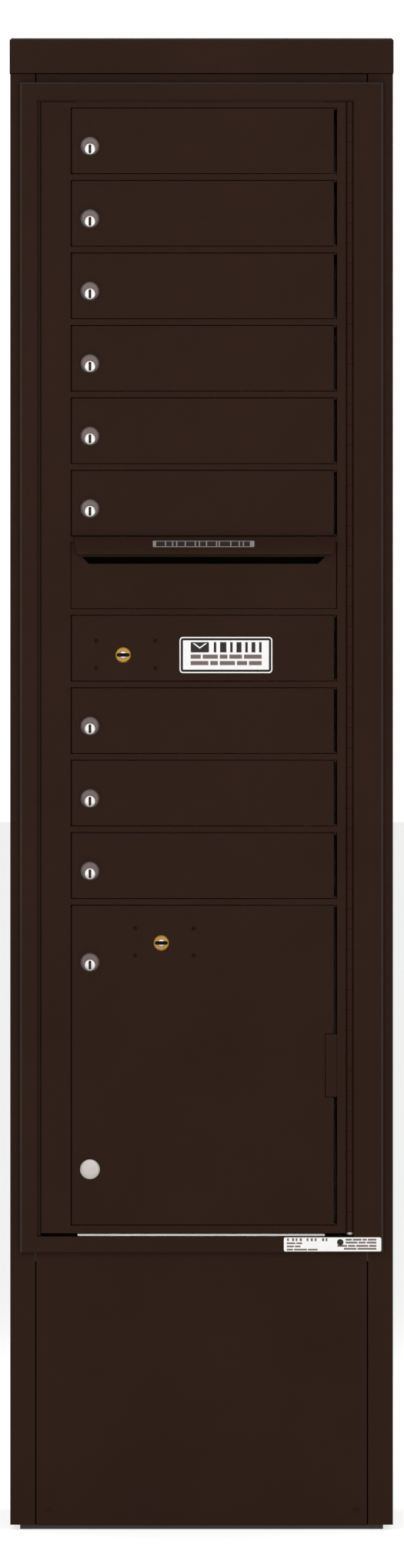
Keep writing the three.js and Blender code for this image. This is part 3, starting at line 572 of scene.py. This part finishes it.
def cabinet_screws(head):
    """Two screws in the lower panel, and a row down each edge of the rear panel."""
    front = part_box("lower_front_panel")[0].y
    across = 190 * MM
    up = 23.5 * MM
    for side, name in ((-1, "left"), (1, "right")):
        place = (side * across, front + SCREW_SUNK * MM, up)
        obj = show("panel_screw_" + name, head, "bronze_powder_coat", place)
        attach(obj, "cabinet")
    low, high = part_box("rear_panel")
    rows = 6
    margin = 60 * MM
    inset = 12.5 * MM
    for side in (-1, 1):
        for n in range(rows):
            z = low.z + margin + (high.z - low.z - 2 * margin) * n / (rows - 1)
            place = (side * (high.x - inset), high.y - SCREW_SUNK * MM, z)
            obj = show(f"rear_screw_{'l' if side < 0 else 'r'}{n + 1}", head, "bronze_powder_coat", place)
            obj.rotation_euler.z = math.pi
            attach(obj, "cabinet")


# ---------------------------------------------------------------- master hinge

HINGE_AXIS = (182.6, FACE / MM + 2.5)
HINGE_SPAN = (367.0, 1758.7)
HINGE_RADIUS = 4.1
HINGE_BORE = 1.95
HINGE_KNUCKLES = 56
HINGE_PLATE = 2.0  # thickness of a leaf
HINGE_STRAP = 1.8  # thickness of the strap from a leaf to its knuckle
HINGE_PLATE_START = 4.7  # behind the axis
HINGE_STRAP_END = 5.2  # behind the axis, so that strap and plate overlap
HINGE_GAP = 0.15  # from a knuckle's end to the middle of the joint with its neighbour


def knuckle_outline(edge, side):
    """A barrel with a strap that runs back to the leaf, whose outer face is at edge."""
    x0, y0 = HINGE_AXIS
    back = y0 + HINGE_STRAP_END
    inner = edge - side * HINGE_STRAP
    rise = math.sqrt(HINGE_RADIUS**2 - (inner - x0) ** 2)
    start = math.atan2(rise, inner - x0)
    end = 2 * math.pi if side > 0 else -math.pi
    steps = 26
    points = [(edge, y0), (edge, back), (inner, back)]
    for n in range(steps):
        angle = start + (end - start) * n / steps
        points.append((x0 + HINGE_RADIUS * math.cos(angle), y0 + HINGE_RADIUS * math.sin(angle)))
    return points


def hinge_leaf(name, node, side, first):
    """One leaf of the continuous hinge: a long plate and every second knuckle."""
    low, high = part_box(node)
    pitch = (HINGE_SPAN[1] - HINGE_SPAN[0]) / HINGE_KNUCKLES
    edge = HINGE_AXIS[0] + side * HINGE_RADIUS
    bm = bmesh.new()
    left = low.x / MM if side < 0 else high.x / MM - HINGE_PLATE
    block(bm, (left, left + HINGE_PLATE), (HINGE_AXIS[1] + HINGE_PLATE_START, high.y / MM), HINGE_SPAN)
    for n in range(first, HINGE_KNUCKLES, 2):
        z = HINGE_SPAN[0] + n * pitch
        loops = [knuckle_outline(edge, side), circle(HINGE_BORE, 16, HINGE_AXIS)]
        prism(bm, loops, z + HINGE_GAP, z + pitch - HINGE_GAP, along="Z")
    obj = show(name, closed_mesh(name, bm, 50.0), "bronze_powder_coat", bevel=0.25, angle=55.0)
    stand_for(obj, node)


def hinge_pin():
    """The pin with its bare round head under the barrel. The coat covers what shows between knuckles."""
    bm = bmesh.new()
    foot = HINGE_SPAN[0] - 0.4
    top = HINGE_SPAN[1]
    radius = HINGE_BORE - 0.3
    profile = [
        (0, foot - 3.7), (2.6, foot - 3.6), (3.9, foot - 3.1), (4.6, foot - 2.2), (4.6, foot - 0.4),
        (4.4, foot), (radius, foot), (radius, top - 0.4), (radius - 0.4, top), (0, top),
    ]
    lathe(bm, profile, 32, HINGE_AXIS, along="Z")
    obj = show("master_hinge_pin", closed_mesh("master_hinge_pin", bm), "zinc_plated_steel")
    repaint(obj, "bronze_powder_coat", lambda face: face.center.z > HINGE_SPAN[0] * MM)
    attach(obj, "cabinet")


# ---------------------------------------------------------------- doors

DOOR_X = (-160.2, 163.2)
DOOR_AXIS = (165.1, FACE / MM + 1.7)
DOOR_DEPTH = 8.4
DOOR_SHEET = 2.0
DOOR_RETURN = 1.5
DOOR_BEND = 1.2
DOOR_CORNER = 2.2
DOOR_HEIGHT = 80.6
PARCEL_HEIGHT = 393.6
PARCEL_NOTCH = (312.5, -158.1, -236.3)  # the hinge bracket's cut: its left, top and bottom
HINGE_PIN_REACH = 3.6  # how far a door's hinge pins stand out of its ends
CAM_LOCK_HOLE = 9.7  # radius, as the next two
ARROW_LOCK_HOLE = 9.5
BLANK_PLUG_HOLE = 6.4


def door_outline(width, height, inset, notch):
    """A tray's outline, its top left corner at the origin. notch holds a cut's left, top and bottom."""
    right = width - inset
    bottom = inset - height
    corners = [(inset, -inset, 90), (inset, bottom, 180), (right, bottom, 270)]
    if notch:
        edge = notch[0] - inset
        high = notch[1] + inset
        low = notch[2] - inset
        corners += [(right, low, 0), (edge, low, None), (edge, high, None), (right, high, 270)]
    corners.append((right, -inset, 0))
    radius = max(0.3, DOOR_CORNER - inset)
    steps = 5
    points = []
    for x, z, start in corners:
        if start is None:
            points.append((x, z))
            continue
        turned = math.radians(start + 45)
        middle_x = x - math.copysign(radius, math.cos(turned))
        middle_z = z - math.copysign(radius, math.sin(turned))
        for n in range(steps + 1):
            angle = math.radians(start + 90 * n / steps)
            points.append((middle_x + radius * math.cos(angle), middle_z + radius * math.sin(angle)))
    return points


def door_tray(height, holes, notch=None):
    """A folded tray with soft outer bends and holes, given by (x, z, radius), in its face."""
    width = DOOR_X[1] - DOOR_X[0]
    steps = 4
    levels = []
    for n in range(steps + 1):
        turn = math.radians(90 * n / steps)
        levels.append((DOOR_BEND * (1 - math.sin(turn)), DOOR_BEND * (1 - math.cos(turn))))
    levels += [
        (0, DOOR_DEPTH - 0.3), (0.2, DOOR_DEPTH), (DOOR_RETURN - 0.2, DOOR_DEPTH),
        (DOOR_RETURN, DOOR_DEPTH - 0.3), (DOOR_RETURN, DOOR_SHEET + 0.7), (DOOR_RETURN + 0.7, DOOR_SHEET),
    ]
    bm = bmesh.new()
    rings = []
    for inset, depth in levels:
        outline = door_outline(width, height, inset, notch)
        rings.append([bm.verts.new(Vector((x, depth, z)) * MM) for x, z in outline])
    for a, b in zip(rings, rings[1:]):
        for n in range(len(a)):
            m = (n + 1) % len(a)
            bm.faces.new((a[n], a[m], b[m], b[n]))
    bm.faces.new(rings[0])
    bm.faces.new(rings[-1])
    tray = closed_mesh("door_tray", bm)
    for x, z, radius in holes:
        bm = bmesh.new()
        lathe(bm, [(0, -1), (radius, -1), (radius, 4), (0, 4)], 48, (x, z))
        tray = carve(tray, closed_mesh("door_hole", bm))
    bm = bmesh.new()
    bm.from_mesh(tray)
    axis = (DOOR_AXIS[0] - DOOR_X[0], DOOR_AXIS[1] - FACE / MM)
    tip = HINGE_PIN_REACH
    pin = [
        (0, -2), (1.4, -2), (1.6, -1.8), (1.6, -0.2), (1.4, 0), (1.1, 0), (1.1, tip - 0.4), (0.8, tip),
        (0, tip),
    ]
    for end, way in ((0, 1), (-height, -1)):
        lathe(bm, [(r, end + way * h) for r, h in pin], 20, axis, along="Z")
        block(bm, (width - 1.0, axis[0]), (0.7, 3.0), sorted((end - way * 1.8, end - way * 0.3)))
    return closed_mesh("door_tray", bm)


def door_corner(node):
    """The top left corner of a door's face."""
    return Vector((DOOR_X[0] * MM, FACE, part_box(node)[1].z - HINGE_PIN_REACH * MM))


def lock_hole(node, lock, radius):
    """Where a lock goes through its door, from the door's corner, and the hole's radius."""
    low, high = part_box(lock)
    middle = ((low + high) / 2 - door_corner(node)) / MM
    return middle.x, middle.z, radius


def hang_door(name, node, mesh):
    """Puts a door's tray in its place, with flat faces that stay flat beside the soft bends."""
    obj = show(name, mesh, "bronze_powder_coat", door_corner(node))
    obj.modifiers.new("flat_faces", "WEIGHTED_NORMAL").keep_sharp = True
    stand_for(obj, node)


def doors():
    """The nine tenant doors, the outgoing-mail door and the parcel door."""
    tenant = door_tray(DOOR_HEIGHT, [lock_hole("tenant_door_1", "tenant_lock_1", CAM_LOCK_HOLE)])
    for n in TENANTS:
        hang_door(f"tenant_door_{n}_tray", f"tenant_door_{n}", tenant)
    hole = lock_hole("outgoing_mail_door", "outgoing_arrow_lock_case", ARROW_LOCK_HOLE)
    hang_door("outgoing_door_tray", "outgoing_mail_door", door_tray(DOOR_HEIGHT, [hole]))
    holes = [
        lock_hole("parcel_door", "parcel_lock", CAM_LOCK_HOLE),
        lock_hole("parcel_door", "parcel_arrow_lock_case", ARROW_LOCK_HOLE),
        lock_hole("parcel_door", "parcel_blank_plug", BLANK_PLUG_HOLE),
    ]
    hang_door("parcel_door_tray", "parcel_door", door_tray(PARCEL_HEIGHT, holes, PARCEL_NOTCH))


# ---------------------------------------------------------------- locks

PLUG_DROP = 3.6  # key plug's axis below the bezel's centre
PLUG_AXIS = (0, -PLUG_DROP)
PLUG_RADIUS = 6.9
CAM_REACH = 27.5  # from the plug's axis to the cam's end
CAM_HALF_WIDTH = 5.5


def cam_lock_body():
    """Bezel on a thin dark ring of painted shadow, threaded barrel and nut. The origin is the bezel's
    centre on the door's face.
    """
    bm = bmesh.new()
    pitch = 0.65
    turns = 14
    thread = []
    for n in range(turns):
        depth = 2.6 + pitch * n
        thread += [(9.3, depth), (8.8, depth + pitch / 2)]
    profile = [
        (0, -2.9), (9.4, -2.9), (9.9, -3.15), (10.2, -3.4), (10.6, -3.4), (11.1, -3.1), (11.3, -2.5),
        (11.3, -0.8), (9.3, -0.6), *thread, (8.9, 12.0), (0, 12.0),
    ]
    lathe(bm, profile, 72)
    body = closed_mesh("cam_lock_body", bm, 25.0)
    bm = bmesh.new()
    bore = PLUG_RADIUS + 0.35
    lathe(bm, [(0, -5), (bore, -5), (bore, -1.6), (5.5, -1.6), (5.5, 14), (0, 14)], 64, PLUG_AXIS)
    body = carve(body, closed_mesh("plug_bore", bm), 25.0)
    bm = bmesh.new()
    bm.from_mesh(body)
    prism(bm, [circle(13.0, 6), circle(9.3, 48)], 2.4, 6.2)
    # A dark ring under the bezel's rim in lock_shadow: painted shadow where the bezel meets the door.
    before = set(bm.faces)
    prism(bm, [circle(12.2, 64), circle(10.5, 48)], -1.2, -0.05)
    for face in set(bm.faces) - before:
        face.material_index = 1
    body = closed_mesh("cam_lock_body", bm, 25.0)
    body.materials.append(MATERIALS["lock_body_metal"])
    body.materials.append(MATERIALS["lock_shadow"])
    return body


def cam_lock_plug():
    """Key plug with its keyway and cam, about the same origin as the body."""
    bm = bmesh.new()
    profile = [
        (0, -3.95), (3.6, -3.95), (5.6, -3.85), (6.5, -3.65), (PLUG_RADIUS, -3.2), (PLUG_RADIUS, -1.9),
        (5.0, -1.9), (5.0, 12.4), (4.2, 12.4), (4.2, 16.2), (3.9, 16.6), (0, 16.6),
    ]
    lathe(bm, profile, 64, PLUG_AXIS)
    plug = closed_mesh("cam_lock_plug", bm, 30.0)
    plug.materials.append(MATERIALS["lock_plug_chrome"])
    bm = bmesh.new()
    prism(bm, [rounded(3.4, 11.2, 1.65, PLUG_AXIS, 8)], -5.0, -1.4)
    plug = carve(plug, closed_mesh("keyway", bm), 30.0, lining="lock_shadow")
    materials = list(plug.materials)
    bm = bmesh.new()
    bm.from_mesh(plug)
    length = CAM_REACH + CAM_HALF_WIDTH
    middle = (0, -PLUG_DROP + CAM_HALF_WIDTH - length / 2)
    cam = rounded(2 * CAM_HALF_WIDTH, length, CAM_HALF_WIDTH - 0.01, middle, 10)
    prism(bm, [cam, circle(4.2, 32, PLUG_AXIS)], 12.4, 14.4)
    plug = closed_mesh("cam_lock_plug", bm, 30.0)
    for material in materials:
        plug.materials.append(material)
    return plug


def cam_locks():
    """The nine tenant locks and the parcel door's lock."""
    body_mesh = cam_lock_body()
    plug_mesh = cam_lock_plug()
    pairs = [(f"tenant_lock_{n}", f"tenant_lock_plug_{n}") for n in TENANTS]
    pairs.append(("parcel_lock", "parcel_lock_plug"))
    for lock, plug in pairs:
        low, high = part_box(lock)
        place = ((low.x + high.x) / 2, FACE, (low.z + high.z) / 2)
        stand_for(show(lock + "_body", body_mesh, SLOT_OF[lock], place, bevel=0.12), lock)
        stand_for(show(plug + "_core", plug_mesh, SLOT_OF[plug], place, bevel=0.12), plug)


def arrow_lock_case():
    """Brass collar with its fixed slot, mounting plate and body, about the collar's centre."""
    bm = bmesh.new()
    profile = [(0, -0.9), (7.9, -0.9), (8.3, -1.2), (8.8, -1.2), (9.1, -0.8), (9.1, 3.4), (0, 3.4)]
    lathe(bm, profile, 64)
    case = closed_mesh("collar", bm, 25.0)
    bm = bmesh.new()
    prism(bm, [rounded(82, 43, 3, steps=4)], 2.3, 4.8)
    case = carve(case, closed_mesh("arrow_plate", bm, 25.0), 25.0, "UNION")
    bm = bmesh.new()
    block(bm, (-29, 29), (4.5, 19), (-17, 17))
    case = carve(case, closed_mesh("arrow_body", bm, 25.0), 25.0, "UNION")
    bm = bmesh.new()
    block(bm, (-31, -7.5), (11.9, 15.7), (-5.4, 5.4))
    case = carve(case, closed_mesh("bolt_channel", bm), 25.0)
    bm = bmesh.new()
    lathe(bm, [(0, -4), (4.9, -4), (4.9, 17), (0, 17)], 40)
    case = carve(case, closed_mesh("arrow_bore", bm), 25.0)
    case.materials.append(MATERIALS["lock_brass"])
    bm = bmesh.new()
    prism(bm, [rounded(15.8, 4.5, 2.2, steps=8)], -4.0, 8.0)
    return carve(case, closed_mesh("arrow_slot", bm), 25.0, lining="lock_shadow")


def arrow_lock_plug():
    """The postal lock's key plug with a slot across it, about the collar's centre."""
    bm = bmesh.new()
    profile = [(0, -1.05), (3.4, -1.05), (4.3, -0.85), (4.6, -0.5), (4.6, 16.2), (4.2, 16.6), (0, 16.6)]
    lathe(bm, profile, 48)
    plug = closed_mesh("arrow_plug", bm, 30.0)
    plug.materials.append(MATERIALS["lock_plug_chrome"])
    bm = bmesh.new()
    block(bm, (-6, 6), (-3, 9), (-2.25, 2.25))
    return carve(plug, closed_mesh("arrow_plug_slot", bm), 30.0, lining="lock_shadow")


def arrow_locks():
    """The two postal locks and their bolts."""
    case_mesh = arrow_lock_case()
    plug_mesh = arrow_lock_plug()
    for door in ("outgoing", "parcel"):
        case = f"{door}_arrow_lock_case"
        plug = f"{door}_arrow_lock_plug"
        low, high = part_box(case)
        place = ((low.x + high.x) / 2, FACE, (low.z + high.z) / 2)
        stand_for(show(case + "_body", case_mesh, "lock_brass", place, bevel=0.15), case)
        stand_for(show(plug + "_core", plug_mesh, "lock_plug_chrome", place, bevel=0.1), plug)
        refined(f"{door}_arrow_lock_bolt", 0.4)


def blank_plug():
    """The domed cap that fills the parcel door's spare lock hole."""
    bm = bmesh.new()
    profile = [
        (0, -1.75), (6, -1.7), (9.5, -1.55), (11.3, -1.3), (12.1, -0.9), (12.3, -0.5), (12.3, -0.3),
        (6, -0.3), (6, 6.6), (5.6, 7.0), (0, 7.0),
    ]
    lathe(bm, profile, 72)
    prism(bm, [circle(10, 6), circle(6, 40)], 2.4, 5.4)
    low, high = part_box("parcel_blank_plug")
    place = ((low.x + high.x) / 2, FACE, (low.z + high.z) / 2)
    obj = show("parcel_blank_plug_cap", closed_mesh("blank_plug", bm, 25.0), "blank_plug_metal", place)
    stand_for(obj, "parcel_blank_plug")


def stud_marks():
    """Faint round marks where the studs behind each postal lock are welded to the door's sheet."""
    groups = {
        "outgoing": ((-33.3, 17.5), (39.7, 17.5), (-33.3, -16.5), (39.7, -16.5)),
        "parcel": ((-32.3, 18.0), (39.7, 18.0), (-32.3, -15.5), (39.7, -15.5)),
    }
    for door, places in groups.items():
        low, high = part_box(f"{door}_arrow_lock_case")
        place = ((low.x + high.x) / 2, FACE, (low.z + high.z) / 2)
        bm = bmesh.new()
        for centre in places:
            lathe(bm, [(0, 0.2), (2.9, 0.2), (2.6, -0.06), (1.6, -0.14), (0, -0.16)], 24, centre)
        name = f"{door}_stud_marks"
        obj = show(name, closed_mesh(name, bm), "coat_over_weld", place)
        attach(obj, f"{door}_door")


# ---------------------------------------------------------------- labels

FILM = 0.12  # thickness of a label
INK = 0.06  # how far its print stands up


def label(name, width, height, corner, stock, prints):
    """A label centred on the origin, facing -Y. prints holds (material, loops) for each printed mark."""
    bm = bmesh.new()
    slots = [stock]
    prism(bm, [rounded(width, height, corner)], -FILM, 0.02)
    for material, loops in prints:
        if material not in slots:
            slots.append(material)
        before = set(bm.faces)
        prism(bm, loops, -FILM - INK, -FILM + 0.02)
        for face in set(bm.faces) - before:
            face.material_index = slots.index(material)
    mesh = closed_mesh(name, bm)
    for slot in slots:
        mesh.materials.append(MATERIALS[slot])
    return mesh


def bar(x0, x1, z0, z1):
    """One printed block, given by its spans."""
    return [rounded(x1 - x0, z1 - z0, 0.3, ((x0 + x1) / 2, (z0 + z1) / 2), 3)]


def broken_row(material, x0, x1, z0, z1, blocks, gap):
    """Prints for a row of plain blocks, in place of words. blocks holds their shares of the length."""
    room = (x1 - x0) - gap * (len(blocks) - 1)
    row = []
    x = x0
    for share in blocks:
        end = x + room * share / sum(blocks)
        row.append((material, bar(x, end, z0, z1)))
        x = end + gap
    return row


def outgoing_label():
    """A bordered white label with an envelope, a row of tall bars and two rows of small blocks."""
    width, height = 114.4, 44.5
    border = [rounded(width - 2.8, height - 2.8, 3.0), rounded(width - 8.6, height - 8.6, 0.5)]
    prints = [("print_dark", border)]
    flap = [(-41, 14.4), (-38.6, 14.4), (-32.2, 9.6), (-25.8, 14.4), (-23.4, 14.4), (-32.2, 7.7)]
    prints.append(("print_dark", [rounded(22.5, 12.6, 1.0, (-32.2, 9.5)), flap]))
    prints += broken_row("print_dark", -15, 44, 3.2, 15.8, (2, 5, 2, 4, 2, 3, 2), 4.6)
    for row, blocks in ((-1.7, (4, 6, 3, 5, 7)), (-9.6, (7, 3, 6, 4, 5))):
        prints += broken_row("print_brown", -43.5, 44, row - 2.9, row + 2.2, blocks, 2.4)
    mesh = label("outgoing_label", width, height, 4.2, "label_white", prints)
    low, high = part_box("outgoing_mail_door")
    place = (30.0 * MM, FACE, (low.z + high.z) / 2 - 8.5 * MM)
    obj = show("outgoing_label", mesh, "label_white", place)
    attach(obj, "outgoing_door")


def hood_label():
    """A narrow grey label on the hood's slope, with a row of dark blocks."""
    width, height = 125.0, 8.6
    blocks = (6, 4, 2, 5, 6, 2, 4, 6, 1, 7, 5, 2, 4)
    prints = broken_row("print_dark", -58.5, 57, -3.4, 3.4, blocks, 1.5)
    mesh = label("hood_label", width, height, 0.8, "label_grey", prints)
    low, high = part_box("mail_slot_hood")
    front_bottom = Vector((0, low.y, high.z - 16.1 * MM))
    front_top = Vector((0, FACE - 5 * MM, high.z))
    slope = math.atan2(front_top.y - front_bottom.y, front_top.z - front_bottom.z)
    share = 0.47
    middle = front_bottom.lerp(front_top, share)
    obj = show("hood_label", mesh, "label_grey", (2.5 * MM, middle.y, middle.z))
    obj.rotation_euler.x = -slope
    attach(obj, "master_door")


def rating_label():
    """The white label on the trim's bottom rail, with plain rows and a dot."""
    width, height = 120.0, 17.2
    prints = []
    for n, x in enumerate((-56, -50, -45.5, -40.5, -32, -27, -22, -13, -8.5)):
        prints.append(("print_brown", bar(x, x + 2.2 + 0.5 * (n % 2), 4.0, 7.6)))
    for top, length, blocks in ((2.4, 19, (3, 2)), (-1.5, 17, (2, 1.6)), (-5.4, 38, (2, 4, 3))):
        prints += broken_row("print_brown", -56.5, -56.5 + length, top - 2.0, top, blocks, 1.2)
    prints.append(("print_dark", [circle(4.0, 24, (9.5, 2.6))]))
    for row, left, blocks in (
        (6.6, 16, (3, 4, 2, 4)),
        (3.0, 16, (5, 3, 4)),
        (-1.0, 6, (4, 3, 5, 3)),
        (-4.6, 14, (4, 6)),
    ):
        prints += broken_row("print_brown", left, 54, row - 1.9, row + 0.3, blocks, 1.2)
    mesh = label("rating_label", width, height, 1.8, "label_white", prints)
    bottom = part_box("module_trim_frame")[0].z
    place = (161.4 * MM, FACE, bottom + 9.7 * MM)
    obj = show("rating_label", mesh, "label_white", place)
    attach(obj, "cabinet")


# ---------------------------------------------------------------- the whole

camera()
studio()
floor()
cabinet_shells()
module_strips()
cabinet_screws(screw())
hinge_leaf("master_hinge_door_half", "master_hinge_door_leaf", -1, 0)
hinge_leaf("master_hinge_frame_half", "master_hinge_frame_leaf", 1, 1)
hinge_pin()
doors()
cam_locks()
arrow_locks()
blank_plug()
stud_marks()
outgoing_label()
hood_label()
rating_label()
